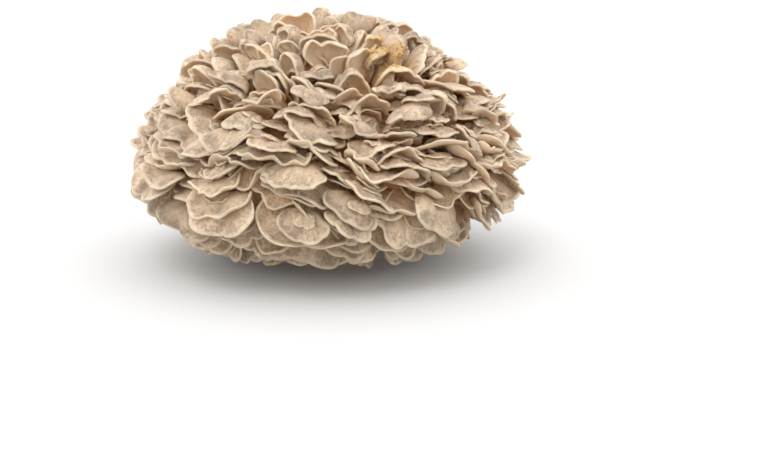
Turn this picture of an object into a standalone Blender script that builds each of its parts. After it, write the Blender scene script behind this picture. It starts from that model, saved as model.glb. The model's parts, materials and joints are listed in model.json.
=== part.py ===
"""A maitake (hen of the woods): one fruiting body, as picked, standing on its cut stem.

Fan-shaped fronds grow out of a branching middle in a golden-angle spiral: upright at the
crown, level at the waist and drooping at the skirt. They are one solid with the stem.
Metres, +Z up. The origin is the middle of the flat cut across the stem.
"""

import math

import bmesh
import bpy
import numpy as np

# ---- driving dimensions ---------------------------------------------------------------
REACH = 0.198           # radius of the widest circle, at the frond tips
RISE = 0.160            # from the widest circle up to the crown
DROP = 0.087            # from the widest circle down to the skirt
WAIST = 0.088           # height of the widest circle above the cut
LEAN = -0.008           # sideways shift of the crown
CORE_INSET = 0.029      # depth of the branching middle below the frond tips
CORE_DROP = 0.064       # from the widest circle down to the underside of the middle
STEM_FOOT = 0.045       # mean radius of the cut stem
STEM_TOP = 0.088        # mean radius where the stem spreads into the middle
STEM_HEIGHT = 0.062
STEM_RIDGES = 7         # main branches that show as ridges round the stem
RIDGE_HEIGHT = 0.08     # height of those ridges, as a share of the radius
FROND_COUNT = 170
FROND_THICK = 0.0042
FROND_STARTS = (0, .005, .010)      # how far inside the widest shape the tips stop, in turn
LOWEST_TIP = 0.007      # no frond comes closer than this to what the stem stands on
SEED = 7

# ---- the head's slow unevenness: sine waves that push every point a little --------------
WAVES = 10
WAVELENGTH = 0.13
WAVE_PUSH = 0.0042
WAVE_SEED = 3

# ---- how the fronds change from the crown down to the skirt ----------------------------
POLAR = (0, 22, 42, 58, 72, 86, 102, 122, 150)                  # degrees from the crown
LENGTH = (.046, .048, .050, .054, .058, .060, .060, .058, .054)
CLIMB = (86, 76, 54, 16, -7, -24, -38, -53, -66)                # degrees above level
BEND = (34, 34, 34, 32, 30, 34, 38, 36, 32)                     # degrees, root to margin
CUP = (-26, -26, -20, -8, 0, 6, 4, 0, -4)                       # degrees, middle to sides
SINK = (.004, .005, .007, .006, .003, .001, 0, 0, 0)            # room above an arched tip

# ---- corners of a blade: place across it (-1 to 1) and along it (0 root, 1 margin) ------
ROOT = .22
ACROSS = (-.94, -.64, -.4, -.32, 0, .32, .4, .64, .94)
MARGIN = (8, 7, 5, 4, 3, 1, 0)      # columns of ACROSS that end on the margin
ROOT_CORNERS = (2, 6)               # columns of ACROSS that end at the root
MIDDLE = 4
CREST = .56                         # place along the middle column of the blade's peak
STEPS = 27                          # points followed along each ray


def clear_scene():
    for obj in list(bpy.data.objects):
        bpy.data.objects.remove(obj)


def envelope(polar, azimuth):
    """Points on the smooth shape that the outermost frond tips touch."""
    height = np.where(np.cos(polar) > 0, RISE, DROP) * np.cos(polar)
    out = REACH * np.sin(polar)
    aside = out * np.cos(azimuth) + LEAN * np.cos(polar).clip(0, 1) ** 2
    return np.stack([aside, out * np.sin(azimuth), WAIST + height], -1)


def by_polar(values, polar):
    return np.interp(np.degrees(polar), POLAR, values)


def spiral(count, rng):
    """Polar angle and azimuth of each frond, spaced by golden angle and by frond size."""
    lowest = math.radians(POLAR[-1])
    polar = np.linspace(0, lowest, 400)
    ring = envelope(polar, 0 * polar)
    step = np.hypot(np.diff(ring[:, 0]), np.diff(ring[:, 2]))
    room = np.cumsum(ring[1:, 0] * step / by_polar(LENGTH, polar[1:]) ** 2)
    share = (np.arange(count) + .5) / count
    placed = np.interp(share, np.concatenate([[0], room / room[-1]]), polar)
    azimuth = np.arange(count) * math.pi * (3 - math.sqrt(5)) + rng.normal(0, .07, count)
    placed = placed + rng.normal(0, math.radians(2), count)
    return np.clip(placed, .03, lowest), azimuth


def draw_fronds(count, seed):
    """Every frond's own shape: lengths in metres, angles in radians, one value a frond."""
    rng = np.random.default_rng(seed)
    polar, azimuth = spiral(count, rng)
    fronds = {"polar": polar, "azimuth": azimuth}
    fronds["length"] = by_polar(LENGTH, polar) * (1 + rng.normal(0, .13, count).clip(-.28, .3))
    fronds["climb"] = np.radians(by_polar(CLIMB, polar) + rng.normal(0, 9, count))
    fronds["bend"] = np.radians(by_polar(BEND, polar) + rng.normal(0, 10, count))
    fronds["roll"] = np.radians(8 + rng.normal(0, 11, count))
    fronds["yaw"] = np.radians(rng.normal(0, 13, count))
    starts = np.resize(FROND_STARTS, count)
    fronds["inset"] = starts + by_polar(SINK, polar) + rng.normal(0, .003, count)
    fronds["breadth"] = rng.uniform(.30, .62, count)
    fronds["span"] = np.radians(rng.uniform(72, 94, count))
    fronds["cup"] = np.radians(by_polar(CUP, polar) + rng.normal(0, 14, count))
    fronds["wave_turns"] = rng.uniform(.8, 1.5, count)
    fronds["wave_lift"] = np.radians(rng.uniform(6, 18, count))
    fronds["wave_phase"] = rng.uniform(0, 2 * math.pi, count)
    fronds["lobes"] = rng.choice([2, 3, 3, 4, 4, 5], count)
    fronds["lobe_shift"] = rng.uniform(0, 2 * math.pi, count)
    fronds["notch"] = rng.uniform(.04, .30, count)
    return {name: values[:, None, None] for name, values in fronds.items()}


def ray_lengths(fronds, across):
    """Length of the rays that run from a frond's root to its lobed margin."""
    ray = fronds["length"] * np.cos(across * math.pi / 2 * .97) ** fronds["breadth"]
    shifted = across + .22 * np.sin(math.pi * across + fronds["lobe_shift"]) * (1 - across ** 2)
    lobe = fronds["lobes"] * (.5 + .5 * np.clip(shifted, -1, 1))
    return ray * (1 - fronds["notch"] * (1 - np.abs(np.sin(math.pi * lobe)) ** .55))


def ray_slopes(fronds, across, along):
    """Slope of each ray on its way out: the frond bends over, is cupped and is waved."""
    angle = across * fronds["span"]
    slope = fronds["bend"] * (.45 - along) * 2 * (.35 + .65 * np.cos(angle))
    slope = slope + fronds["cup"] * (1 - np.cos(angle)) * 1.2
    wave = np.sin(math.pi * across * fronds["wave_turns"] + fronds["wave_phase"])
    return slope + fronds["wave_lift"] * along * wave


def running_sum(values, step):
    """Sum of the trapezia below each row of values, from its start."""
    middles = (values[..., 1:] + values[..., :-1]) / 2 * step
    return np.concatenate([0 * values[..., :1], np.cumsum(middles, -1)], -1)


def turned(first, second, angle):
    """Two square directions, turned by an angle in their own plane."""
    cosine, sine = np.cos(angle), np.sin(angle)
    return cosine * first + sine * second, cosine * second - sine * first


def uneven(points):
    """The points pushed by sine waves that run in random directions."""
    rng = np.random.default_rng(WAVE_SEED)
    way = rng.normal(0, 1, (WAVES, 3))
    way /= np.linalg.norm(way, axis=-1, keepdims=True)
    way *= 2 * math.pi / (WAVELENGTH * rng.uniform(.7, 1.4, (WAVES, 1)))
    phase = rng.uniform(0, 2 * math.pi, WAVES)
    push = rng.normal(0, WAVE_PUSH / math.sqrt(WAVES), (WAVES, 3))
    return points + np.sin(points @ way.T + phase) @ push


def frond_surfaces(fronds):
    """Points of every frond as [frond, across, along, xyz], each with its tip in place."""
    across = np.array(ACROSS)[None, :, None]
    along = np.linspace(ROOT, 1, STEPS)[None, None, :]
    slope = ray_slopes(fronds, across, along)
    step = (1 - ROOT) / (STEPS - 1)
    ray = ray_lengths(fronds, across)
    out = ray * (ROOT + running_sum(np.cos(slope), step))
    lift = ray * running_sum(np.sin(slope), step)
    angle = across * fronds["span"]

    azimuth = fronds["azimuth"]
    radial = np.stack([np.cos(azimuth), np.sin(azimuth), 0 * azimuth], -1)
    tangent = np.stack([-np.sin(azimuth), np.cos(azimuth), 0 * azimuth], -1)
    forward, side = turned(radial, -tangent, -fronds["yaw"][..., None])
    forward, normal = turned(forward, np.array([0, 0, 1.0]), fronds["climb"][..., None])
    side, normal = turned(side, normal, fronds["roll"][..., None])
    points = side * (out * np.sin(angle))[..., None]
    points = points + forward * (out * np.cos(angle))[..., None] + normal * lift[..., None]

    tip = envelope(fronds["polar"], azimuth)
    outward = tip - (0, 0, WAIST)
    outward /= np.linalg.norm(outward, axis=-1, keepdims=True)
    tip = tip - outward * fronds["inset"][..., None]
    points = uneven(points - points[:, MIDDLE, None, None, -1] + tip)
    points[..., 2] = np.maximum(points[..., 2], LOWEST_TIP)
    return points


def add_blade(name, corners, peak, collection):
    """One frond: a fan of triangles from its peak to its corners, given its thickness."""
    bm = bmesh.new()
    bmesh.ops.create_circle(bm, cap_ends=True, cap_tris=True, segments=len(corners), radius=1)
    hub = max(bm.verts, key=lambda vert: len(vert.link_edges))
    rim = sorted(set(bm.verts) - {hub}, key=lambda vert: math.atan2(vert.co.y, vert.co.x))
    hub.co = peak
    for vert, corner in zip(rim, corners):
        vert.co = corner
    mesh = bpy.data.meshes.new(name)
    bm.to_mesh(mesh)
    bm.free()
    blade = bpy.data.objects.new(name, mesh)
    collection.objects.link(blade)
    solidify = blade.modifiers.new("thickness", "SOLIDIFY")
    solidify.thickness = FROND_THICK
    solidify.offset = 0


def add_fronds(collection):
    points = frond_surfaces(draw_fronds(FROND_COUNT, SEED))
    crest = round((CREST - ROOT) / (1 - ROOT) * (STEPS - 1))
    for index, frond in enumerate(points):
        corners = np.concatenate([frond[list(MARGIN), -1], frond[list(ROOT_CORNERS), 0]])
        add_blade(f"frond_{index}", corners, frond[MIDDLE, crest], collection)


def take_active(name, collection):
    """The object that an operator has just made, named and moved to a collection."""
    obj = bpy.context.object
    obj.name = name
    for old in list(obj.users_collection):
        old.objects.unlink(obj)
    collection.objects.link(obj)
    return obj


def add_core(collection):
    """The branching middle that the fronds grow from, as one plain round body."""
    bpy.ops.mesh.primitive_uv_sphere_add(segments=20, ring_count=10, radius=1)
    core = take_active("maitake", collection)
    for vert in core.data.vertices:
        height = RISE - CORE_INSET if vert.co.z > 0 else CORE_DROP
        vert.co.x *= REACH - CORE_INSET
        vert.co.y *= REACH - CORE_INSET
        vert.co.z = WAIST + height * vert.co.z
    return core


def add_stem(collection):
    """The cut stem, flat below, spreading in ridges to the main branches."""
    bpy.ops.mesh.primitive_cone_add(
        vertices=4 * STEM_RIDGES, radius1=STEM_FOOT, radius2=STEM_TOP,
        depth=STEM_HEIGHT, location=(0, 0, STEM_HEIGHT / 2))
    stem = take_active("stem", collection)
    for vert in stem.data.vertices:
        turn = math.atan2(vert.co.y, vert.co.x)
        ridge = 1 + RIDGE_HEIGHT * math.cos(STEM_RIDGES * turn)
        vert.co.x *= ridge
        vert.co.y *= ridge


def keep_outer_skin(mesh):
    """Leave only the largest connected skin: no loose scrap, and no hollow inside."""
    bm = bmesh.new()
    bm.from_mesh(mesh)
    bmesh.ops.triangulate(bm, faces=bm.faces)
    left = set(bm.faces)
    skins = []
    while left:
        skin = {left.pop()}
        edge_of_skin = set(skin)
        while edge_of_skin:
            near = {other for face in edge_of_skin for edge in face.edges
                    for other in edge.link_faces}
            edge_of_skin = near & left
            left -= edge_of_skin
            skin |= edge_of_skin
        skins.append(skin)
    largest = max(skins, key=len)
    loose = [face for face in bm.faces if face not in largest]
    bmesh.ops.delete(bm, geom=loose, context="FACES")
    bm.to_mesh(mesh)
    bm.free()


def fuse(body, pieces):
    """Join a collection of pieces to the body for good, and remove the pieces."""
    union = body.modifiers.new("grown together", "BOOLEAN")
    union.operation = "UNION"
    union.operand_type = "COLLECTION"
    union.collection = pieces
    union.solver = "MANIFOLD"
    depsgraph = bpy.context.evaluated_depsgraph_get()
    mesh = bpy.data.meshes.new_from_object(body.evaluated_get(depsgraph))
    body.modifiers.remove(union)
    body.data = mesh
    for piece in list(pieces.objects):
        bpy.data.objects.remove(piece)
    bpy.data.collections.remove(pieces)
    keep_outer_skin(mesh)


def flesh_material():
    material = bpy.data.materials.new("flesh")
    material.use_nodes = True
    shader = material.node_tree.nodes["Principled BSDF"]
    shader.inputs["Base Color"].default_value = (.50, .36, .24, 1)
    shader.inputs["Roughness"].default_value = .7
    shader.inputs["Metallic"].default_value = 0
    return material


def main():
    clear_scene()
    whole = bpy.data.collections.new("maitake")
    pieces = bpy.data.collections.new("growth")
    for collection in (whole, pieces):
        bpy.context.scene.collection.children.link(collection)
    body = add_core(whole)
    add_stem(pieces)
    add_fronds(pieces)
    fuse(body, pieces)
    body.data.materials.clear()
    body.data.materials.append(flesh_material())


main()
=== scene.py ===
import json
import math

import bmesh
import bpy
import numpy as np
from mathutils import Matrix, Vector
from mathutils.bvhtree import BVHTree


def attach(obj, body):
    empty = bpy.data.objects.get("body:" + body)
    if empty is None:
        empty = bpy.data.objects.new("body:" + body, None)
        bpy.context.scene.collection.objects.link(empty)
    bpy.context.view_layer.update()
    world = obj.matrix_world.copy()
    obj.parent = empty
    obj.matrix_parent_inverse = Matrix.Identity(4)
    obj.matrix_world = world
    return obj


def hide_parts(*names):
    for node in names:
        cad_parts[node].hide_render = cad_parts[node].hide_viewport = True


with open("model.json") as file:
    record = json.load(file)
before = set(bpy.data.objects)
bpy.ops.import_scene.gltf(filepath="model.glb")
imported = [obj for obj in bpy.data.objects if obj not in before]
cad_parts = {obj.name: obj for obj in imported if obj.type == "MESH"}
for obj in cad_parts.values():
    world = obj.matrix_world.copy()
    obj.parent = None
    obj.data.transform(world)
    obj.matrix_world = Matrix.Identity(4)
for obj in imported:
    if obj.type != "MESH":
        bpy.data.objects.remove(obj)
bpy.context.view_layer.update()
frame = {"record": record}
base = next(m for m in frame["record"]["mounts"] if m["name"] == "base")
floorLevel = base["pos_m"][2]

# the head's overall shape, in metres above the cut stem
head = {
    "reach": .198,         # widest radius, at the frond tips
    "rise": .160,          # widest circle up to the crown
    "drop": .087,          # widest circle down to the skirt
    "waist": .088,         # height of the widest circle
    "lean": -.008,         # sideways shift of the crown
    "lowestPolar": 150,    # degrees from the crown to the lowest fronds
    "lowestTip": .006,     # nothing but the stem comes lower
    "softFloor": .004,     # over this height the fronds bend clear of that level
    "creviceShadeDepth": .28,   # share of the reach over which painted shade darkens the crevices
}

# how the fronds change from the crown (0 degrees) down to the skirt: lengths in metres, angles in
# degrees
habit = {
    "polar":    [0,    22,   42,   58,   72,   86,   102,  122,  150],
    "length":   [.029, .031, .034, .038, .042, .046, .049, .049, .042],
    "climb":    [86,   76,   54,   20,   0,    -18,  -37,  -54,  -66],
    "bend":     [32,   32,   34,   36,   34,   36,   40,   38,   34],
    "bendVary": [16,   16,   15,   12,   11,   10,   9,    9,    9],
    "cup":      [-18,  -18,  -14,  -2,   5,    10,   10,   7,    3],
    "cupVary":  [19,   19,   18,   14,   12,   11,   11,   11,   11],
    "lip":      [-34,  -32,  -22,  0,    20,   28,   28,   26,   20],
    "span":     [84,   84,   84,   86,   88,   88,   87,   86,   84],
    "lobes":    [1.5,  1.6,  1.9,  2.9,  3.4,  3.1,  2.8,  2.7,  2.6],
    "wave":     [8,    8,    9,    12,   12,   8,    5,    4,    4],
    "sink":     [.004, .005, .007, .006, .003, .001, 0,    0,    0],
    "restless": [2.6,  2.5,  2.1,  1.4,  1.0,  .8,   .7,   .7,   .7],
    "crowding": [.9,   1.0,  1.2,  1.5,  1.5,  1.2,  1.05, .95,  .85],
    "ruffle":   [.4,   .4,   .6,   1,    1,    .9,   .6,   .5,   .5],
}


# a row of that table, read between its columns
def atPolar(name, polar):
    return np.interp(np.degrees(polar), habit["polar"], habit[name])


# a flattened ball: the radius is the reach times the sine of the polar angle, and the height is
# its cosine times the rise above the widest circle, or times the drop below it
def envelope(polar, azimuth):
    up = np.cos(polar)
    height = head["waist"] + np.where(up > 0, head["rise"], head["drop"]) * up
    out = head["reach"] * np.sin(polar)
    aside = out * np.cos(azimuth) + head["lean"] * up.clip(0, 1) ** 2
    return np.stack([aside, out * np.sin(azimuth), height], -1)


goldenTurn = 3 - math.sqrt(5)       # the golden angle, in half turns
# how far a frond may stray from the spiral, in degrees down and in radians round, how near the
# crown it may come, in radians, and on how many rings the room is added up
scatter = {"polar": 2.2, "azimuth": .07, "leastPolar": .03, "rings": 400}


# golden-angle turns, with each frond given room in proportion to its length squared
def spiral(count, rng):
    grid = np.linspace(0, math.radians(head["lowestPolar"]), scatter["rings"])
    ring = envelope(grid, 0 * grid)
    step = np.hypot(np.diff(ring[:, 0]), np.diff(ring[:, 2]))
    crowd = ring[1:, 0] * step * atPolar("crowding", grid[1:])
    room = np.cumsum(crowd / atPolar("length", grid[1:]) ** 2)
    share = (np.arange(count) + .5) / count
    polar = np.interp(share, np.append(0, room / room[-1]), grid)
    polar = polar + rng.normal(0, math.radians(scatter["polar"]), count)
    azimuth = np.arange(count) * math.pi * goldenTurn + rng.normal(0, scatter["azimuth"], count)
    return polar.clip(scatter["leastPolar"], grid[-1]), azimuth


# how far fronds side by side differ: one number is the spread of a normal draw, and a pair holds
# the ends of an even one
varied = {
    "length": .2, "lengthEnds": (-.36, .28), "inset": .0022, "span": (.88, 1.12),
    "climb": 9, "roll": 10, "leanOver": 9, "yaw": 13, "lip": 12,      # degrees
    "waveTurns": (.8, 1.9), "waveLift": (.5, 1.5),
    "lobes": .9, "mostLobes": 6, "lobesRight": 1.6,           # the +X side is the more ragged one
    "lobeShift": .11, "loneLobeShift": 3, "lobeOut": (-.08, .05), "lobeTilt": 6,
    "lobeSize": (.85, 1.15), "lobeWidest": .50, "lobeNarrowing": .05,
    "crinkle": (.004, .020), "crinkleRight": 1.2,
    "groove": (4, 16), "folds": (2.4, 4.6), "foldHeight": (.0003, .0014),
}


# one value a frond for everything that makes it different from its neighbours: the table's value
# at its polar angle plus or times a random one
def drawFronds(count, seed):
    rng = np.random.default_rng(seed)
    v = varied
    polar, azimuth = spiral(count, rng)
    right = (.5 + .5 * np.cos(azimuth)) ** 2
    restless = atPolar("restless", polar)
    ragged = atPolar("ruffle", polar)
    several = (count, v["mostLobes"])
    f = {"polar": polar, "azimuth": azimuth, "ruffle": ragged}
    larger = rng.normal(0, v["length"], count).clip(*v["lengthEnds"])
    f["length"] = atPolar("length", polar) * np.exp(larger)
    f["climb"] = np.radians(atPolar("climb", polar) + restless * rng.normal(0, v["climb"], count))
    bendVary, cupVary = atPolar("bendVary", polar), atPolar("cupVary", polar)
    f["bend"] = np.radians(atPolar("bend", polar) + bendVary * rng.normal(0, 1, count))
    f["roll"] = np.radians(v["leanOver"] + restless * rng.normal(0, v["roll"], count))
    f["yaw"] = np.radians(restless * rng.normal(0, v["yaw"], count))
    f["inset"] = atPolar("sink", polar) + rng.normal(0, v["inset"], count)
    f["span"] = np.radians(atPolar("span", polar) * rng.uniform(*v["span"], count))
    f["cup"] = np.radians(atPolar("cup", polar) + cupVary * rng.normal(0, 1, count))
    f["lip"] = np.radians(atPolar("lip", polar) + rng.normal(0, v["lip"], count))
    f["waveTurns"] = rng.uniform(*v["waveTurns"], count)
    f["waveLift"] = np.radians(atPolar("wave", polar) * rng.uniform(*v["waveLift"], count))
    f["wavePhase"] = rng.uniform(0, 2 * math.pi, count)
    lobes = atPolar("lobes", polar) + rng.normal(0, v["lobes"], count) + v["lobesRight"] * right
    f["lobes"] = np.round(lobes).clip(1, v["mostLobes"])
    alone = f["lobes"] < 2
    f["lobeShift"] = rng.normal(0, v["lobeShift"], several) * (1 + v["loneLobeShift"] * alone)[:, None]
    widest = v["lobeWidest"] - v["lobeNarrowing"] * f["lobes"]
    f["lobeSize"] = rng.uniform(*v["lobeSize"], several) * widest[:, None]
    f["lobeOut"] = rng.uniform(*v["lobeOut"], several)
    f["lobeTilt"] = np.radians(rng.normal(0, v["lobeTilt"], several)) * ragged[:, None]
    f["crinkle"] = rng.uniform(*v["crinkle"], count) * (1 + v["crinkleRight"] * right) * ragged
    f["groove"] = np.radians(rng.uniform(*v["groove"], count))
    f["folds"] = rng.uniform(*v["folds"], count)
    f["foldHeight"] = rng.uniform(*v["foldHeight"], count)
    f["tone"] = rng.uniform(0, 1, count)
    f["back"], f["above"] = np.zeros(count), np.zeros(count)
    return f


def someFronds(fronds, chosen):
    return {name: values[chosen] for name, values in fronds.items()}


# small fronds, each lying a little above the upper face of a large one and set back from its tip
def drawRiders(fronds, r):
    rng = np.random.default_rng(r["seed"])
    ridden = np.flatnonzero(fronds["polar"] > math.radians(r["fromPolar"]))
    f = someFronds(fronds, np.tile(ridden, r["tries"]))
    total = len(f["polar"])
    other = someFronds(f, rng.permutation(total))
    for name in ("lobes", "lobeShift", "lobeSize", "lobeOut", "lobeTilt", "wavePhase", "tone"):
        f[name] = other[name]
    whole = f["length"]
    f["length"] = whole * rng.uniform(*r["share"], total)
    f["back"] = whole * rng.uniform(*r["back"], total)
    f["above"] = rng.uniform(*r["above"], total)
    f["climb"] = f["climb"] + np.radians(rng.uniform(*r["lift"], total))
    f["cup"] = f["cup"].clip(math.radians(r["leastCup"]), None)
    f["yaw"] = f["yaw"] + np.radians(rng.normal(0, r["turn"], total))
    return f


# all as shares of a frond's length and turns in radians
outline = {
    "disc": .79, "discTurn": .8,              # size of the disc through the root, and its width
    "lobeTip": 1.26,                          # the lobes reach this far past that disc
    "lobeFan": (.16, .11), "mostFan": .68,    # how wide they fan out, at first and for each lobe
    "widestTurn": 1.45, "notchSharpness": 45,
    "shortSides": .5,                         # what the outermost rays lose
    "crinkleTurns": (19, 31), "crinkleShare": .6,
}


# a disc that passes through the root, as a share of the frond's length: the square root of the
# cosine of a narrowed angle
def discRay(angle):
    return outline["disc"] * np.cos(outline["discTurn"] * angle) ** .5


# a frond's outline: that disc with smaller discs, its lobes, round its margin. A ray ends at the
# farthest edge of them all, blended by the logarithm of a sum of exponentials, and two sine
# waves crinkle the margin
def rayLength(f, across):
    lobes = f["lobes"][:, None]
    slot = np.arange(varied["mostLobes"])[None, :]
    inUse = (slot < lobes)[..., None]
    where = np.where(lobes > 1, 2 * slot / np.maximum(lobes - 1, 1) - 1, 0) + f["lobeShift"]
    start, each = outline["lobeFan"]
    where = where * (start + each * lobes).clip(None, outline["mostFan"]) * f["span"][:, None]
    turn = across * f["span"][:, None, None] - where[..., None]
    widest = outline["widestTurn"]
    tip = discRay(where.clip(-widest, widest)) * (outline["lobeTip"] + f["lobeOut"])
    size = (f["lobeSize"] * tip)[..., None]
    out = tip[..., None] - size
    inside = (size ** 2 - (out * np.sin(turn)) ** 2).clip(1e-4, None) ** .5
    edge = np.where(inUse & (np.abs(out * np.sin(turn)) < size), out * np.cos(turn) + inside, 0)
    body = discRay(across * f["span"][:, None])
    share = np.exp(outline["notchSharpness"] * (edge - body[:, None])) * inUse
    ray = body + np.log1p(share.sum(1)) / outline["notchSharpness"]
    share = share / (1 + share.sum(1, keepdims=True))
    ray = ray * (1 - outline["shortSides"] * np.abs(across) ** 6)
    phase = f["wavePhase"][:, None]
    slow, quick = outline["crinkleTurns"]
    fine = np.sin(across * slow + phase) + outline["crinkleShare"] * np.sin(across * quick + 2 * phase)
    ray = ray * (1 + f["crinkle"][:, None] * fine)
    return ray * f["length"][:, None], share


slopes = {
    "archTop": .45, "archMiddle": .65, "archSides": .35,   # where a frond levels out, and how much
    "cup": 1.2, "lobeTilt": 1.3,
    "lipStart": .72, "lipWidth": .28, "lip": 2, "lipGrowth": 1.3,
    "ruffle": .3, "moreTurns": 1.1,                        # how the lip comes and goes
}


# slope of every ray as it runs out: an arch, a cup across it, a wave, a tilt for each lobe,
# a groove below each notch, and a lip at the margin, all added up
def raySlope(f, across, along, share):
    g = {name: values[:, None, None] for name, values in f.items() if values.ndim == 1}
    a, s = across[None, :, None], along[None, None, :]
    angle = a * g["span"]
    arch = slopes["archSides"] + slopes["archMiddle"] * np.cos(angle)
    slope = g["bend"] * (slopes["archTop"] - s) * 2 * arch
    slope = slope + g["cup"] * (1 - np.cos(angle)) * slopes["cup"]
    slope = slope + g["waveLift"] * s * np.sin(math.pi * a * g["waveTurns"] + g["wavePhase"])
    tilt = (f["lobeTilt"][..., None] * share).sum(1)
    slope = slope + tilt[..., None] * s ** 1.5 * slopes["lobeTilt"]
    notch = 1 - share.max(1)
    slope = slope - g["groove"] * notch[..., None] * s ** 2
    turns = 2 * math.pi * a * (g["waveTurns"] + slopes["moreTurns"])
    ruffle = 1 + slopes["ruffle"] * g["ruffle"] * np.sin(turns + 2 * g["wavePhase"])
    lip = ((s - slopes["lipStart"]) / slopes["lipWidth"]).clip(0, 1) ** slopes["lipGrowth"]
    return slope + g["lip"] * lip * slopes["lip"] * ruffle


# running integral along the last axis, by the trapezium rule
def runningSum(values, step):
    middles = (values[..., 1:] + values[..., :-1]) / 2 * step
    return np.concatenate([0 * values[..., :1], np.cumsum(middles, -1)], -1)


def unit(vectors):
    size = np.linalg.norm(vectors, axis=-1, keepdims=True)
    return vectors / np.maximum(size, 1e-12)


# a slow unevenness of the whole head: sums of sine waves in random directions
warpSettings = {
    "seed": 3, "count": (10, 14, 18), "wavelength": (.13, .05, .022), "height": (.0042, .0016, .0005),
    "vary": (.7, 1.4),
}


def makeWarps():
    rng = np.random.default_rng(warpSettings["seed"])
    made = []
    for count, wavelength, height in zip(
            warpSettings["count"], warpSettings["wavelength"], warpSettings["height"]):
        way = unit(rng.normal(0, 1, (count, 3)))
        way = way * 2 * math.pi / (wavelength * rng.uniform(*warpSettings["vary"], (count, 1)))
        phase = rng.uniform(0, 2 * math.pi, count)
        made.append((way, phase, rng.normal(0, height / math.sqrt(count), (count, 3))))
    return made


warps = makeWarps()


# each point moved by every wave's push times the sine of how far it lies along that wave
def warped(points):
    moved = points
    for way, phase, push in warps:
        moved = moved + np.sin(points @ way.T + phase) @ push
    return moved


# middle surface of every frond as [frond, across, along, xyz], and its normals: each ray is the
# running integral of its slope's cosine and sine, fanned out by its angle, turned by yaw, climb
# and roll, and moved so that the middle of the margin lies on the envelope
def frondSheets(f, across, along):
    ray, share = rayLength(f, across)
    ray = ray[..., None]
    slope = raySlope(f, across, along, share)
    step = np.diff(along)
    out = ray * (runningSum(np.cos(slope), step) + along[0])
    lift = ray * runningSum(np.sin(slope), step)
    angle = (across * f["span"][:, None])[..., None]
    azimuth = f["azimuth"]
    level = 0 * azimuth
    radial = np.stack([np.cos(azimuth), np.sin(azimuth), level], -1)
    tangent = np.stack([-np.sin(azimuth), np.cos(azimuth), level], -1)
    up = np.array([0, 0, 1.0])
    turn, climb, roll = f["yaw"][:, None], f["climb"][:, None], f["roll"][:, None]
    ahead = np.cos(turn) * radial + np.sin(turn) * tangent
    side = np.cross(ahead, up)
    forward = np.cos(climb) * ahead + np.sin(climb) * up
    normal = np.cos(climb) * up - np.sin(climb) * ahead
    side, normal = (np.cos(roll) * side + np.sin(roll) * normal,
                    np.cos(roll) * normal - np.sin(roll) * side)
    points = (out * np.sin(angle))[..., None] * side[:, None, None]
    points = points + (out * np.cos(angle))[..., None] * forward[:, None, None]
    points = points + lift[..., None] * normal[:, None, None]
    tip = envelope(f["polar"], azimuth)
    tip = tip - unit(tip - [0, 0, head["waist"]]) * f["inset"][:, None]
    tip = tip - f["back"][:, None] * forward + f["above"][:, None] * normal
    points = points + (tip - points[:, len(across) // 2, -1])[:, None, None]
    fold = np.sin(math.pi * across * f["folds"][:, None] + 3 * f["wavePhase"][:, None])[..., None]
    raised = fold * f["foldHeight"][:, None, None] * np.sin(math.pi * along ** 1.5) ** .7
    points = warped(points + raised[..., None] * normal[:, None, None])
    above = (points[..., 2] - head["lowestTip"]) / head["softFloor"]
    points[..., 2] = head["lowestTip"] + np.logaddexp(0, above) * head["softFloor"]
    normals = unit(np.cross(np.gradient(points, axis=1), np.gradient(points, axis=2)))
    return points, normals


# the coarse sheets: only their rows from the number "outer" on count as crossing
coarse = {"columns": 13, "along": (.45, .6, .75, .9, 1), "outer": 2}


# a search tree of the outer parts of fronds, as coarse sheets of the same number of faces each
def coarseTree(fronds):
    across, along = np.linspace(-1, 1, coarse["columns"]), np.array(coarse["along"])
    points = frondSheets(fronds, across, along)[0]
    parts, columns, rows, _ = points.shape
    corner = np.arange(parts)[:, None, None] * columns * rows
    corner = corner + np.arange(columns - 1)[:, None] * rows + np.arange(rows - 1)
    quads = np.stack([corner, corner + 1, corner + rows + 1, corner + rows], -1).reshape(-1, 4)
    tree = BVHTree.FromPolygons(points.reshape(-1, 3).tolist(), quads.tolist())
    return tree, (columns - 1) * (rows - 1)


# every pair of fronds whose outer parts cross
def crossings(first, second):
    rows = len(coarse["along"]) - 1
    firstTree, faces = coarseTree(first)
    pairs = np.array(firstTree.overlap(coarseTree(second)[0])).reshape(-1, 2)
    pairs = pairs[(pairs % rows).max(1) >= coarse["outer"]]
    return np.unique(pairs // faces, axis=0)


# layers from the outside in: at each depth, every frond that crosses none already placed stays
def placeFronds(fronds, c):
    rng = np.random.default_rng(c["seed"])
    total = len(fronds["polar"])
    large = c["largeFirst"] * fronds["length"] / fronds["length"].mean()
    waiting = np.argsort(rng.uniform(0, 1, total) - large)
    own = fronds["inset"]
    placed = np.zeros(total, bool)
    for depth in c["depths"]:
        fronds["inset"] = np.where(placed, fronds["inset"], own + depth)
        crossed = [[] for _ in range(total)]
        for one, other in crossings(fronds, fronds):
            crossed[one].append(other)
        for one in waiting:
            if not placed[one] and placed.sum() < c["count"]:
                placed[one] = not placed[[other for other in crossed[one] if other != one]].any()
        print("placed down to", depth, "m:", placed.sum())
    return someFronds(fronds, np.flatnonzero(placed)), someFronds(fronds, np.flatnonzero(~placed))


# where the rays start, as a share of the way out, how flat the slanted ones are, their length in
# metres, the step past a frond that they have met, and how many fronds they count
rays = {"start": .7, "slant": .35, "length": .15, "step": .0005, "mostFronds": 30}


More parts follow.
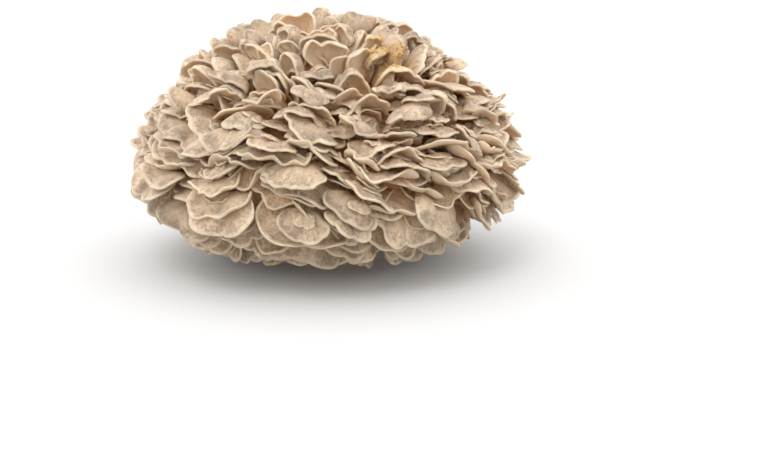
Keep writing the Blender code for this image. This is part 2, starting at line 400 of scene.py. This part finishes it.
# rays from the hidden middle of the head, straight out and on a lower slant
def raysOutward(count):
    index = np.arange(count) + .5
    lowest = math.cos(math.radians(head["lowestPolar"]))
    polar = np.arccos(1 - (1 - lowest) * index / count)
    target = envelope(polar, index * math.pi * goldenTurn)
    middle = np.array([0, 0, head["waist"]])
    start = middle + (target - middle) * rays["start"]
    straight = unit(target - middle)
    slanted = unit(straight * [1, 1, rays["slant"]])
    return np.concatenate([start, start]), np.concatenate([straight, slanted])


# which fronds each ray goes through
def frondsHit(fronds, starts, ways, most=rays["mostFronds"]):
    tree, faces = coarseTree(fronds)
    hits = np.zeros((len(starts), len(fronds["polar"])), bool)
    for ray, (start, way) in enumerate(zip(starts, ways)):
        here, way = Vector(start), Vector(way)
        for _ in range(most):
            point, _, face, _ = tree.ray_cast(here, way, rays["length"])
            if face is None:
                break
            hits[ray, face // faces] = True
            here = point + way * rays["step"]
    return hits


# spare fronds set deeper, each time the one that covers most of the rays that still run free
def fillBare(placed, spare, c):
    starts, ways = raysOutward(c["rays"])
    free = ~frondsHit(placed, starts, ways, 1).any(1)
    starts, ways = starts[free], ways[free]
    spare["inset"] = c["depth"] + spare["inset"] - spare["inset"].mean()
    crossed = np.bincount(crossings(spare, placed)[:, 0], minlength=len(spare["polar"]))
    spare = someFronds(spare, np.flatnonzero(crossed <= c["crossed"]))
    covers = frondsHit(spare, starts, ways)
    waiting = np.ones(len(starts), bool)
    chosen = []
    while len(chosen) < c["count"]:
        gain = covers[waiting].sum(0)
        best = int(gain.argmax())
        if gain[best] < c["least"]:
            break
        chosen.append(best)
        waiting &= ~covers[:, best]
    print("free rays", len(starts), "left", waiting.sum(), "filled by", len(chosen))
    return someFronds(spare, np.array(chosen))


# riders that cross no frond and no rider taken before them
def clearRiders(riders, fronds, count):
    crossed = np.bincount(crossings(riders, fronds)[:, 0], minlength=len(riders["polar"])) > 0
    near = [[] for _ in crossed]
    for one, other in crossings(riders, riders):
        near[one].append(other)
    taken = np.zeros(len(crossed), bool)
    for one in np.flatnonzero(~crossed):
        taken[one] = not taken[near[one]].any() and taken.sum() < count
    print("riders drawn", len(taken), "clear", (~crossed).sum(), "taken", taken.sum())
    return someFronds(riders, np.flatnonzero(taken))


shellRows = {
    "firstRow": .06, "fineStart": .68, "fineLength": .32, "fineGrowth": .75,   # rows along a frond
    "columnsOut": (.8, .2),                          # crowds the columns a little at both sides
    "thinning": 1.1, "beadAt": .955, "beadWidth": .05, "rootTaper": .06,
}


# closed shells round those sheets: upper face out to the margin, a half-round rim,
# and the under face back to the root, with all the borders drawn together
def frondShells(f, size):
    bladeRows, rimRows, rim = size["bladeRows"], size["rimRows"], size["rim"]
    across = np.linspace(-1, 1, size["columns"])
    across = across * (shellRows["columnsOut"][0] + shellRows["columnsOut"][1] * across ** 2)
    coarseRows = bladeRows // 2
    fineRows = np.linspace(0, 1, bladeRows - coarseRows) ** shellRows["fineGrowth"]
    along = np.concatenate([
        np.linspace(shellRows["firstRow"], shellRows["fineStart"], coarseRows, endpoint=False),
        shellRows["fineStart"] + shellRows["fineLength"] * fineRows])
    points, normals = frondSheets(f, across, along)
    thick = rim + (size["root"] - rim) * (1 - along) ** shellRows["thinning"]
    thick = thick + size["bead"] * np.exp(-((along - shellRows["beadAt"]) / shellRows["beadWidth"]) ** 2)
    thick = thick * ((along - along[0]) / shellRows["rootTaper"]).clip(0, 1) ** .5
    half = (thick * (1 - across[:, None] ** 14) ** .5 / 2)[..., None]
    margin, face = points[:, :, -1], normals[:, :, -1]
    outward = unit(margin - points[:, :, -2])
    bend = math.pi * np.arange(1, rimRows + 1) / (rimRows + 1)
    edge = [margin + half[:, -1] * (face * math.cos(b) + outward * math.sin(b)) for b in bend]
    upper = points + normals * half
    lower = points - normals * half
    shells = np.concatenate([upper, np.stack(edge, 2), lower[:, :, ::-1]], 2)
    marks = {"reach": np.concatenate([along, np.ones(rimRows), along[::-1]]),
             "under": np.concatenate([np.zeros(bladeRows), np.full(rimRows, .5), np.ones(bladeRows)])}
    marks = {name: np.broadcast_to(values, shells.shape[:3]) for name, values in marks.items()}
    marks["across"] = np.broadcast_to(across[:, None], shells.shape[:3])
    marks["tone"] = np.broadcast_to(f["tone"][:, None, None], shells.shape[:3])
    return shells, marks


# how far a point lies inside the envelope, 0 at the tips and 1 at the deepest crevices, which sets how
# much painted shade
# darkens it: one less the root of its squared distances, each as a share of the head's size that way
def buried(points):
    z = points[..., 2] - head["waist"]
    high = np.where(z > 0, head["rise"], head["drop"])
    level = np.sqrt((points[..., 0] ** 2 + points[..., 1] ** 2) / head["reach"] ** 2 + (z / high) ** 2)
    return ((1 - level) / head["creviceShadeDepth"]).clip(0, 1)


# a map with one square cell for each part of a piece, and a narrow border left round each
def cellMap(parts, rows, columns, border=.04):
    side = math.ceil(math.sqrt(parts))
    cell = np.arange(parts)[:, None, None]
    inside = 1 - 2 * border
    u = (cell % side + border + inside * np.linspace(0, 1, rows)[None, :, None]) / side
    v = (cell // side + border + inside * np.linspace(0, 1, columns)[None, None, :]) / side
    return np.stack(np.broadcast_arrays(u, v), -1).reshape(-1, 2)


# a closed piece from grids of points [part, row, column, xyz], welded where borders meet
def addPiece(name, grids, marks, material):
    parts, rows, columns, _ = grids.shape
    start = np.arange(parts)[:, None, None] * rows * columns
    first = start + np.arange(rows - 1)[None, :, None] * columns + np.arange(columns - 1)
    quads = np.stack([first, first + columns, first + columns + 1, first + 1], -1).reshape(-1, 4)
    mesh = bpy.data.meshes.new(name)
    mesh.vertices.add(parts * rows * columns)
    mesh.vertices.foreach_set("co", grids.astype(np.float32).ravel())
    mesh.loops.add(quads.size)
    mesh.loops.foreach_set("vertex_index", quads.astype(np.int32).ravel())
    mesh.polygons.add(len(quads))
    mesh.polygons.foreach_set("loop_start", np.arange(0, quads.size, 4, dtype=np.int32))
    mesh.update(calc_edges=True)
    places = cellMap(parts, rows, columns)[quads.ravel()]
    mesh.uv_layers.new(name="OFBake").uv.foreach_set("vector", places.astype(np.float32).ravel())
    marks = dict(marks, depth=buried(grids))
    for mark, values in marks.items():
        made = mesh.attributes.new(mark, "FLOAT", "POINT")
        made.data.foreach_set("value", np.ascontiguousarray(values, np.float32).ravel())
    bm = bmesh.new()
    bm.from_mesh(mesh)
    bmesh.ops.remove_doubles(bm, verts=bm.verts, dist=1e-6)
    bmesh.ops.recalc_face_normals(bm, faces=bm.faces)
    bm.to_mesh(mesh)
    bm.free()
    mesh.shade_smooth()
    mesh.materials.append(material)
    piece = bpy.data.objects.new(name, mesh)
    bpy.context.scene.collection.objects.link(piece)
    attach(piece, "root")
    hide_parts("maitake")
    print("made", name, len(mesh.polygons), "faces")
    return piece


def addNode(tree, kind, values=None, **settings):
    node = tree.nodes.new(kind)
    for name, value in settings.items():
        setattr(node, name, value)
    for name, value in (values or {}).items():
        node.inputs[name].default_value = value
    return node


def linkAll(tree, pairs):
    for source, target in pairs:
        tree.links.new(source, target)


def newGroup(name, inputs, outputs):
    tree = bpy.data.node_groups.new(name, "ShaderNodeTree")
    for label, kind in inputs:
        tree.interface.new_socket(label, in_out="INPUT", socket_type=kind)
    for label, kind in outputs:
        tree.interface.new_socket(label, in_out="OUTPUT", socket_type=kind)
    return tree, tree.nodes.new("NodeGroupInput"), tree.nodes.new("NodeGroupOutput")


colourSockets = (0, 6, 7)       # factor and the two colours of a Mix node


def mixColours(tree, factor, first, second, blend="MIX"):
    node = tree.nodes.new("ShaderNodeMix")
    node.data_type = "RGBA"
    node.blend_type = blend
    for socket, value in zip(colourSockets, (factor, first, second)):
        if isinstance(value, bpy.types.NodeSocket):
            tree.links.new(value, node.inputs[socket])
        else:
            node.inputs[socket].default_value = value
    return node.outputs[2]


def mapRange(tree, value, low, high, toLow=0.0, toHigh=1.0, smooth=True):
    node = tree.nodes.new("ShaderNodeMapRange")
    node.interpolation_type = "SMOOTHSTEP" if smooth else "LINEAR"
    tree.links.new(value, node.inputs["Value"])
    for name, number in zip(("From Min", "From Max", "To Min", "To Max"), (low, high, toLow, toHigh)):
        node.inputs[name].default_value = number
    return node.outputs["Result"]


def combine(tree, operation, first, second):
    node = tree.nodes.new("ShaderNodeMath")
    node.operation = operation
    for socket, value in zip(node.inputs, (first, second)):
        if isinstance(value, bpy.types.NodeSocket):
            tree.links.new(value, socket)
        else:
            socket.default_value = value
    return node.outputs[0]


# how much finer than the blotches, detail, and the noise values that become 0 and 1
mottleLayers = {"Blotch": (1, 5, .38, .60), "Speck": (5.5, 4, .42, .66), "Felt": (22, 3, .25, .75)}


# cloudy blotches, small specks and a fine felt, all as values from 0 to 1
def makeMottleGroup(roughness=.62):
    tree, inputs, outputs = newGroup(
        "mottle", [("Vector", "NodeSocketVector"), ("Scale", "NodeSocketFloat")],
        [(label, "NodeSocketFloat") for label in mottleLayers])
    for label, (factor, detail, low, high) in mottleLayers.items():
        noise = addNode(tree, "ShaderNodeTexNoise", {"Detail": detail, "Roughness": roughness})
        scale = combine(tree, "MULTIPLY", inputs.outputs["Scale"], factor)
        value = mapRange(tree, noise.outputs["Fac"], low, high)
        linkAll(tree, [(inputs.outputs["Vector"], noise.inputs["Vector"]),
                       (scale, noise.inputs["Scale"]), (value, outputs.inputs[label])])
    return tree


def useGroup(tree, group, links, values=None):
    node = tree.nodes.new("ShaderNodeGroup")
    node.node_tree = group
    for name, value in (values or {}).items():
        node.inputs[name].default_value = value
    for name, source in links.items():
        tree.links.new(source, node.inputs[name])
    return node.outputs


mottleGroup = makeMottleGroup()


def startMaterial(name):
    material = bpy.data.materials.new(name)
    material.use_nodes = True
    tree = material.node_tree
    return material, tree, tree.nodes["Principled BSDF"]


def readMark(tree, name):
    return addNode(tree, "ShaderNodeAttribute", attribute_name=name).outputs["Fac"]


# a colour made darker or lighter by a part's own tone, from the first share to the second
def toned(tree, colour, tone, shares):
    shade = mapRange(tree, tone, 0, 1, *shares, smooth=False)
    shades = addNode(tree, "ShaderNodeCombineColor")
    linkAll(tree, [(shade, shades.inputs[name]) for name in ("Red", "Green", "Blue")])
    return mixColours(tree, 1.0, colour, shades.outputs[0], "MULTIPLY")


# places on the crown where the flesh has turned golden: degrees down and round, radius, strength
goldenSpots = ({"towards": (34, -52), "radius": .034, "strength": .8},
               {"towards": (36, -126), "radius": .022, "strength": .5})


def spotMiddle(spot):
    return envelope(*np.radians(spot["towards"]))


frondFinish = {
    "cream": (.77, .575, .38, 1),       # the paler ground of the upper face
    "taupe": (.37, .265, .18, 1),       # grey-brown blotches and streaks on it
    "speck": (.15, .10, .065, 1),
    "base": (.60, .43, .28, 1),         # tan: painted shade towards the root of the upper face, and the colour of the specks on the under face
    "rim": (.81, .65, .465, 1),
    "under": (.70, .515, .335, 1),      # the warmer under face
    "creviceShade": (1, .73, .46, 1),        # painted shade: what everything is multiplied by deep inside
    "gold": (.70, .43, .14, 1),         # the golden flesh of the spots
    "blotchScale": 62, "streaks": {"Scale": 1.6, "Detail": 4, "Roughness": .6},
    "streakTurns": 9.0, "streakShift": 57.0, "streakRange": (.38, .68), "streakMix": .38,
    # from root 0 to margin 1: where each mix starts and ends, and its strength at both
    "cloudMix": (.45, .9, .25, .95), "speckMix": (.5, .88, .3, .58), "rootShadeMix": (.35, .82, .5, 0),
    "rimMix": (.935, 1.0, 0, .62), "rimWander": .03, "underRimMix": (.9, 1.0, 0, .6),
    "underSpeckMix": .3, "goldMix": (0, .7, .35, 1), "tones": (.84, 1.06), "creviceShadeRange": (.2, 1.0),
    "translucent": .35, "bleed": (1, .7, .48), "bleedScale": .007,
    "roughness": (.72, .54),            # between the blotches and on them
    "bump": {"Strength": .34, "Distance": .0012}, "streakBump": 1.5, "speckBump": 1.2,
}


def makeFrondMaterial(look):
    material, tree, shader = startMaterial("frond flesh")
    place = addNode(tree, "ShaderNodeTexCoord").outputs["Object"]
    mottle = useGroup(tree, mottleGroup, {"Vector": place}, {"Scale": look["blotchScale"]})
    reach, under, depth = (readMark(tree, name) for name in ("reach", "under", "depth"))
    across, tone = readMark(tree, "across"), readMark(tree, "tone")
    # wrinkles run from root to margin: noise that is stretched along each ray
    spread = combine(tree, "MULTIPLY", across, look["streakTurns"])
    shift = combine(tree, "MULTIPLY", tone, look["streakShift"])
    ray = addNode(tree, "ShaderNodeCombineXYZ")
    linkAll(tree, [(spread, ray.inputs["X"]), (shift, ray.inputs["Y"]), (reach, ray.inputs["Z"])])
    streaks = addNode(tree, "ShaderNodeTexNoise", look["streaks"])
    linkAll(tree, [(ray.outputs[0], streaks.inputs["Vector"])])
    streak = mapRange(tree, streaks.outputs["Fac"], *look["streakRange"])
    # the upper face: blotches, a band of dark specks just inside the rim, streaks, painted shade in tan
    # towards the root, rim
    cloud = combine(tree, "SUBTRACT", 1.0, mottle["Blotch"])
    cloud = combine(tree, "MULTIPLY", cloud, mapRange(tree, reach, *look["cloudMix"]))
    face = mixColours(tree, cloud, look["cream"], look["taupe"])
    band = combine(tree, "MULTIPLY", mottle["Speck"], mapRange(tree, reach, *look["speckMix"]))
    face = mixColours(tree, band, face, look["speck"])
    face = mixColours(tree, combine(tree, "MULTIPLY", streak, look["streakMix"]), face, look["taupe"])
    # painted shade: the upper face turns tan towards the root, where the cap above shades it
    face = mixColours(tree, mapRange(tree, reach, *look["rootShadeMix"]), face, look["base"])
    wander = combine(tree, "ADD", reach, combine(tree, "MULTIPLY", mottle["Blotch"], look["rimWander"]))
    face = mixColours(tree, mapRange(tree, wander, *look["rimMix"]), face, look["rim"])
    flecks = combine(tree, "MULTIPLY", mottle["Speck"], look["underSpeckMix"])
    below = mixColours(tree, flecks, look["under"], look["base"])
    below = mixColours(tree, mapRange(tree, reach, *look["underRimMix"]), below, look["rim"])
    colour = mixColours(tree, mapRange(tree, under, .5, 1.0), face, below)
    for spot in goldenSpots:
        away = addNode(tree, "ShaderNodeVectorMath", operation="DISTANCE")
        away.inputs[1].default_value = spotMiddle(spot)
        linkAll(tree, [(place, away.inputs[0])])
        radius = spot["radius"]
        near = mapRange(tree, away.outputs["Value"], radius, radius / 2, 0, spot["strength"])
        near = combine(tree, "MULTIPLY", near, mapRange(tree, mottle["Speck"], *look["goldMix"]))
        colour = mixColours(tree, near, colour, look["gold"])
    colour = toned(tree, colour, tone, look["tones"])
    # painted shade: colours turn darker and browner deeper inside the head, where the crevices lie in
    # shadow
    deep = mixColours(tree, 1.0, colour, look["creviceShade"], "MULTIPLY")
    colour = mixColours(tree, mapRange(tree, depth, *look["creviceShadeRange"]), colour, deep)
    height = combine(tree, "ADD", mottle["Felt"], combine(tree, "MULTIPLY", streak, look["streakBump"]))
    height = combine(tree, "ADD", height, combine(tree, "MULTIPLY", mottle["Speck"], look["speckBump"]))
    bump = addNode(tree, "ShaderNodeBump", look["bump"])
    linkAll(tree, [(height, bump.inputs["Height"]), (bump.outputs[0], shader.inputs["Normal"]),
                   (colour, shader.inputs["Base Color"])])
    shader.inputs["Subsurface Weight"].default_value = look["translucent"]
    shader.inputs["Subsurface Radius"].default_value = look["bleed"]
    shader.inputs["Subsurface Scale"].default_value = look["bleedScale"]
    rough = mapRange(tree, mottle["Blotch"], 0, 1, *look["roughness"])
    linkAll(tree, [(rough, shader.inputs["Roughness"])])
    return material


frondMaterial = makeFrondMaterial(frondFinish)

caps = {
    "drawn": 1500, "count": 460, "seed": 12, "largeFirst": .25, "depths": (0, .004, .009, .013),
    "columns": 41, "bladeRows": 8, "rimRows": 3,
    "rim": .0021, "root": .0066, "bead": .0004,        # thickness at the rim and at the root
    "pieces": ("crownFronds", "shoulderFronds", "waistFronds", "skirtFronds"),
}
fronds, spareFronds = placeFronds(drawFronds(caps["drawn"], caps["seed"]), caps)
count = len(fronds["polar"])
frondPieces = []
for index, name in enumerate(caps["pieces"]):
    ends = [round(count * k / len(caps["pieces"])) for k in (index, index + 1)]
    shells, marks = frondShells(someFronds(fronds, slice(*ends)), caps)
    frondPieces.append(addPiece(name, shells, marks, frondMaterial))

inner = {
    "count": 228, "rays": 5000, "depth": .020, "crossed": 3, "least": 2,
    "columns": 23, "bladeRows": 5, "rimRows": 1, "rim": .0014, "root": .0044, "bead": 0,
}
shells, marks = frondShells(fillBare(fronds, spareFronds, inner), inner)
frondPieces.append(addPiece("innerFronds", shells, marks, frondMaterial))

tufts = {
    "count": 270, "tries": 6, "fromPolar": 45, "seed": 23,
    "share": (.34, .6), "back": (.12, .42), "above": (.006, .014),   # next to the frond below
    "lift": (6, 20), "turn": 16, "leastCup": -4,
    "columns": 27, "bladeRows": 6, "rimRows": 1, "rim": .0013, "root": .0036, "bead": .0002,
}
shells, marks = frondShells(clearRiders(drawRiders(fronds, tufts), fronds, tufts["count"]), tufts)
frondPieces.append(addPiece("youngFronds", shells, marks, frondMaterial))

crumbs = {
    "count": 560, "clumps": 26, "seed": 41, "spread": .013, "clumpSpread": .0032,
    "size": (.0004, .0012), "stretch": (.6, 1.3), "lumps": .16, "lumpTurns": 2.4,
    "around": 8, "down": 6, "farthest": .12, "from": .25,
    "gold": (.70, .44, .16, 1), "ochre": (.36, .18, .05, 1), "tones": (.75, 1.15),
    "blotchScale": 248, "roughness": .8,
}


# uneven lumps, each a ball with stretched axes that three sine waves dent, where straight lines
# from outside the golden spot first meet the fronds
def crumbGrids(c, hosts):
    rng = np.random.default_rng(c["seed"])
    middle = spotMiddle(goldenSpots[0])
    out = unit(middle - [0, 0, head["waist"]])
    aside = unit(np.cross(out, [0, 0, 1]))
    rise = np.cross(aside, out)
    clump = rng.normal(0, c["spread"], (c["clumps"], 2))[rng.integers(0, c["clumps"], c["count"])]
    shift = clump + rng.normal(0, c["clumpSpread"], (c["count"], 2))
    start = middle + out * head["reach"] * c["from"] + shift[:, :1] * aside + shift[:, 1:] * rise
    graph = bpy.context.evaluated_depsgraph_get()
    trees = [BVHTree.FromObject(host, graph) for host in hosts]
    places = []
    for point in start:
        hits = [tree.ray_cast(Vector(point), Vector(-out), c["farthest"]) for tree in trees]
        hits = [hit for hit in hits if hit[0] is not None]
        if hits:
            places.append(min(hits, key=lambda hit: hit[3])[0])
    down = np.linspace(0, math.pi, c["down"])[:, None]
    around = np.linspace(0, 2 * math.pi, c["around"])
    ball = np.stack([np.sin(down) * np.cos(around), np.sin(down) * np.sin(around),
                     np.cos(down) + 0 * around], -1)
    count = len(places)
    size = rng.uniform(*c["size"], (count, 1, 1, 1))
    stretch = rng.uniform(*c["stretch"], (count, 1, 1, 3))
    ways = rng.normal(0, c["lumpTurns"], (count, 1, 3, 3))
    bumps = np.sin(ball @ ways + rng.uniform(0, 6, (count, 1, 1, 3)))
    lumps = ball * (1 + c["lumps"] * bumps.sum(-1, keepdims=True))
    lumps[:, :, -1] = lumps[:, :, 0]
    return np.array(places)[:, None, None] + size * stretch * lumps, rng.uniform(0, 1, count)


def makeCrumbMaterial(look):
    material, tree, shader = startMaterial("golden crumbs")
    place = addNode(tree, "ShaderNodeTexCoord").outputs["Object"]
    mottle = useGroup(tree, mottleGroup, {"Vector": place}, {"Scale": look["blotchScale"]})
    colour = mixColours(tree, mottle["Blotch"], look["ochre"], look["gold"])
    colour = toned(tree, colour, readMark(tree, "tone"), look["tones"])
    linkAll(tree, [(colour, shader.inputs["Base Color"])])
    shader.inputs["Roughness"].default_value = look["roughness"]
    return material


crumbPoints, crumbTones = crumbGrids(crumbs, frondPieces)
crumbMarks = {"tone": np.broadcast_to(crumbTones[:, None, None], crumbPoints.shape[:3])}
addPiece("goldenCrumbs", crumbPoints, crumbMarks, makeCrumbMaterial(crumbs))

trunk = {
    "foot": .045, "top": .088, "ridges": 7, "ridge": .08,        # the stem, its radius at both ends
    "inset": .046, "underside": .058,                            # the middle that it carries
    "branches": 26, "branch": .045, "branchFloor": .6, "sway": 1.6, "swayTurns": 11,
    "around": 180, "cutRows": 8, "stemRows": 14, "middleRows": 28,
    "marks": {"reach": .4, "under": .3, "across": 0, "tone": .5},    # as at a frond's root, so the stem takes about half the painted root shade
}


# one turned profile, from the middle of the cut out to its edge, up the ridged stem, and on over
# the hidden middle of the head, which sine waves divide into swaying branches, to its crown
def trunkGrid(t):
    turn = np.linspace(0, 2 * math.pi, t["around"])
    flat = np.linspace(0, 1, t["cutRows"], endpoint=False)
    rise = np.linspace(0, 1, t["stemRows"], endpoint=False)
    cap = np.linspace(0, 1, t["middleRows"])
    wide = head["reach"] - t["inset"]
    start = math.asin(t["top"] / wide)
    polar = math.pi - start - cap * (math.pi - start)
    high = np.where(np.cos(polar) > 0, head["rise"] - t["inset"], t["underside"])
    radius = np.concatenate([flat * t["foot"], t["foot"] + (t["top"] - t["foot"]) * rise ** 1.6,
                             wide * np.sin(polar)])
    topOfStem = head["waist"] + (high * np.cos(polar))[0]
    height = np.concatenate([0 * flat, topOfStem * rise, head["waist"] + high * np.cos(polar)])
    ridged = np.concatenate([flat ** 3, 1 + 0 * rise, (1 - cap).clip(0, 1) ** 6])
    branched = np.concatenate([0 * flat, 0 * rise, np.sin(math.pi * cap) ** .5])
    sway = t["sway"] * np.sin(np.concatenate([0 * flat, 0 * rise, t["swayTurns"] * cap]))
    branch = np.abs(np.cos(t["branches"] / 2 * turn + sway[:, None])) - t["branchFloor"]
    radius = radius[:, None] * (1 + t["ridge"] * ridged[:, None] * np.cos(t["ridges"] * turn)
                                + t["branch"] * branched[:, None] * branch)
    grid = np.stack([radius * np.cos(turn), radius * np.sin(turn),
                     np.broadcast_to(height[:, None], radius.shape)], -1)
    grid[:, -1] = grid[:, 0]
    return grid[None]


trunkPoints = trunkGrid(trunk)
trunkMarks = {name: np.full(trunkPoints.shape[:3], value) for name, value in trunk["marks"].items()}
addPiece("stemAndMiddle", trunkPoints, trunkMarks, frondMaterial)

stage = {
    "floorSize": 60, "floorColour": (.66, .66, .655, 1), "floorRoughness": .9,
    "floorBounce": (.38, .37, .35, 1),   # how pale the floor is for the light that it throws back
    "sky": 1.5,                          # how bright the sky is as a light
    "gamma": 1.12,
}


def makeFloor():
    material, tree, shader = startMaterial("floor")
    seen = tree.nodes.new("ShaderNodeLightPath").outputs["Is Camera Ray"]
    pale = mixColours(tree, seen, stage["floorBounce"], stage["floorColour"])
    linkAll(tree, [(pale, shader.inputs["Base Color"])])
    shader.inputs["Roughness"].default_value = stage["floorRoughness"]
    mesh = bpy.data.meshes.new("floor")
    half = stage["floorSize"] / 2
    corners = [(-half, -half, floorLevel), (half, -half, floorLevel),
               (half, half, floorLevel), (-half, half, floorLevel)]
    mesh.from_pydata(corners, [], [(0, 1, 2, 3)])
    mesh.materials.append(material)
    floor = bpy.data.objects.new("floor", mesh)
    bpy.context.scene.collection.objects.link(floor)


# a plain white sky where the camera sees it, and a brighter one as a source of light
def makeSky():
    world = bpy.data.worlds.new("studio")
    bpy.context.scene.world = world
    world.use_nodes = True
    tree = world.node_tree
    path = tree.nodes.new("ShaderNodeLightPath").outputs["Is Camera Ray"]
    strength = addNode(tree, "ShaderNodeMix", {"A": stage["sky"], "B": 1})
    linkAll(tree, [(path, strength.inputs["Factor"]),
                   (strength.outputs["Result"], tree.nodes["Background"].inputs["Strength"])])
    tree.nodes["Background"].inputs["Color"].default_value = (1, 1, 1, 1)


lamps = {
    "key": {"from": (-.3, -.7, 1.1), "angle": 28, "strength": .55},
    "top": {"from": (-.1, .1, 1.0), "angle": 70, "strength": .2},
}


def addLamps():
    for name, lamp in lamps.items():
        light = bpy.data.lights.new(name, "SUN")
        light.angle = math.radians(lamp["angle"])
        light.energy = lamp["strength"]
        holder = bpy.data.objects.new(name, light)
        holder.rotation_euler = Vector(lamp["from"]).to_track_quat("Z", "Y").to_euler()
        bpy.context.scene.collection.objects.link(holder)


view = {
    "lens": 70, "sensor": 36, "elevation": 14, "headWidth": .4,
    "headShare": .5117,       # width of the head, as a share of the frame's width
    "aside": .1374,           # the frame's middle lies this far right of the head, in head widths
    "below": .159,            # and this far below its widest circle
}


def addCamera():
    width = view["headWidth"]
    distance = view["lens"] / view["sensor"] * width / view["headShare"]
    elevation = math.radians(view["elevation"])
    back = Vector((0, -math.cos(elevation), math.sin(elevation)))
    up = Vector((0, math.sin(elevation), math.cos(elevation)))
    aim = Vector((view["aside"] * width, 0, head["waist"])) - up * view["below"] * width
    data = bpy.data.cameras.new("camera")
    data.lens = view["lens"]
    data.sensor_width = view["sensor"]
    camera = bpy.data.objects.new("camera", data)
    camera.location = aim + back * distance
    camera.rotation_euler = (-back).to_track_quat("-Z", "Y").to_euler()
    bpy.context.scene.collection.objects.link(camera)
    bpy.context.scene.camera = camera


makeFloor()
makeSky()
addLamps()
addCamera()
bpy.context.scene.view_settings.view_transform = "Standard"
bpy.context.scene.view_settings.gamma = stage["gamma"]
print("stage, lamps and camera set")
